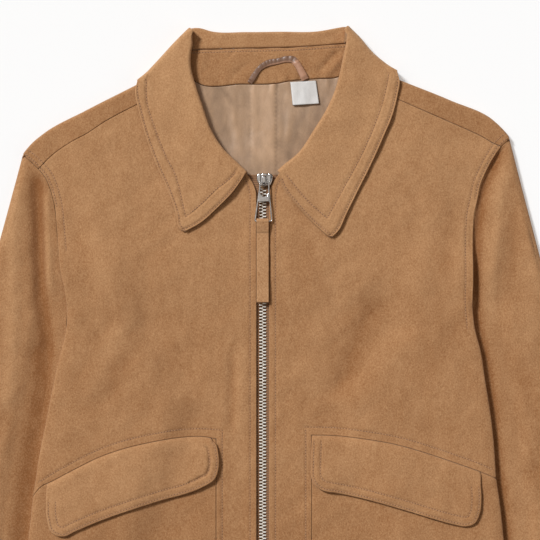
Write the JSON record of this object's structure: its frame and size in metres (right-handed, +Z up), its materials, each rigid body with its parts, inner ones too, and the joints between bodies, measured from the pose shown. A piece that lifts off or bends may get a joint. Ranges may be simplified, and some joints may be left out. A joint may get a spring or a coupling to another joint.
{
  "type": "suede zip jacket, laid flat",
  "caption": "Collared suede jacket with a zip front and flap pockets, laid flat face up, sleeves beside it and collar leaves folded open.",
  "frame": {"origin": "on the surface the jacket lies on, below the middle of its outline", "axes": "+X across to the wearer's left sleeve, +Y up to the collar, +Z up from the surface out of the jacket's front"},
  "size_m": [0.77, 0.765, 0.0166],
  "materials": {
    "suede": "matte napped suede, tan",
    "lining": "beige satin",
    "loop_satin": "brown satin ribbon",
    "label": "white satin, bare",
    "zip_tape": "woven tape, brown",
    "zip_metal": "polished metal"
  },
  "bodies": {
    "jacket": {"back": "suede", "front_right": "suede", "front_left": "suede", "lower_front_right": "suede", "lower_front_left": "suede", "pocket_flap_right": "suede", "pocket_flap_left": "suede", "sleeve_right": "suede", "sleeve_left": "suede", "collar_stand": "suede", "collar_fall": "suede", "lining_back": "lining", "hanger_loop": "loop_satin", "size_label": "label", "zip_tape_right": "zip_tape", "zip_tape_left": "zip_tape", "zip_chain": "zip_metal", "zip_bottom_stop": "zip_metal", "zip_slider": "zip_metal"},
    "zip_pull": {"zip_pull": "zip_metal", "zip_pull_strap": "suede"}
  },
  "joints": [
    {"name": "zip_pull_swing", "type": "hinge", "parent": "jacket", "child": "zip_pull", "pos_m": [0.0002, 0.2374, 0.0128], "axis": [-1, 0, 0], "range_deg": [0, 165]}
  ]
}
